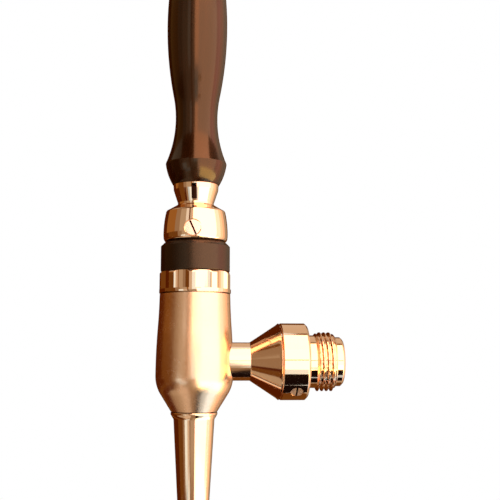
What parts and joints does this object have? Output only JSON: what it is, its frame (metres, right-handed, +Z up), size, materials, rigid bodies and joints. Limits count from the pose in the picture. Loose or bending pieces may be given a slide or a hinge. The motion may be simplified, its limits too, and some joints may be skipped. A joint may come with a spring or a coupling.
{
  "type": "beer tap",
  "caption": "Upright lever tap with a tapered spout, a fluted top nut, a rocking cap that lifts the valve, a turned wooden handle and a conical side inlet with flow control.",
  "frame": {"origin": "middle of the inlet thread's length, on the inlet's axis", "axes": "+X along the inlet, out of the tap towards the supply; +Z up, along the body towards the handle; the pivot screw's head faces -Y"},
  "size_m": [0.0727, 0.03, 0.2588],
  "materials": {
    "satin_copper_brass": "fine brushed around the body",
    "polished_copper_brass": "mirror polished",
    "plain_brass": "machined",
    "black_plastic": "satin moulded",
    "white_plastic": "turned",
    "stained_wood": "dark stain under gloss lacquer",
    "seal_rubber": "matt",
    "bright_steel": "bright turned"
  },
  "bodies": {
    "tap": {"tap_body": "satin_copper_brass", "union_nut": "polished_copper_brass", "rocker_ring": "black_plastic", "valve_guide": "plain_brass", "guide_seal": "seal_rubber", "spindle_seal": "seal_rubber", "inlet_neck": "polished_copper_brass", "inlet_tail": "polished_copper_brass", "housing_seal": "seal_rubber", "nozzle": "polished_copper_brass", "nozzle_seal": "seal_rubber", "return_spring": "bright_steel"},
    "valve_spindle": {"spindle": "bright_steel", "seat_washer": "seal_rubber", "washer_nut": "bright_steel", "spring_washer": "bright_steel"},
    "lever": {"rocker_cap": "polished_copper_brass", "pivot_screw": "polished_copper_brass", "handle_ferrule": "polished_copper_brass", "handle_insert": "plain_brass", "handle": "stained_wood"},
    "flow_control_screw": {"flow_screw": "polished_copper_brass", "flow_screw_seal": "seal_rubber"},
    "flow_compensator": {"compensator": "white_plastic"}
  },
  "joints": [
    {"name": "spindle_lift", "type": "slide", "parent": "tap", "child": "valve_spindle", "axis": [0, 0, 1], "range_m": [0, 0.00573], "stiffness_N_per_m": 1500, "springref_m": -0.008, "deforming": ["return_spring"]},
    {"name": "lever_tilt", "type": "hinge", "parent": "valve_spindle", "child": "lever", "pos_m": [-0.0505, 0, 0.05085], "axis": [-0.1132, -0.9936, 0], "range_deg": [0, 25]},
    {"name": "flow_screw_turn", "type": "hinge", "parent": "tap", "child": "flow_control_screw", "pos_m": [-0.0118, 0, 0], "axis": [0, -0.6293, -0.7771], "range_deg": [-45, 45]},
    {"name": "compensator_slide", "type": "slide", "parent": "tap", "child": "flow_compensator", "axis": [1, 0, 0], "range_m": [-0.00085, 0.00085]}
  ],
  "couplings": [
    {"joint": "lever_tilt", "follows": "spindle_lift", "rad_per_m": 76.09},
    {"joint": "flow_screw_turn", "follows": "compensator_slide", "rad_per_m": 925.9}
  ]
}
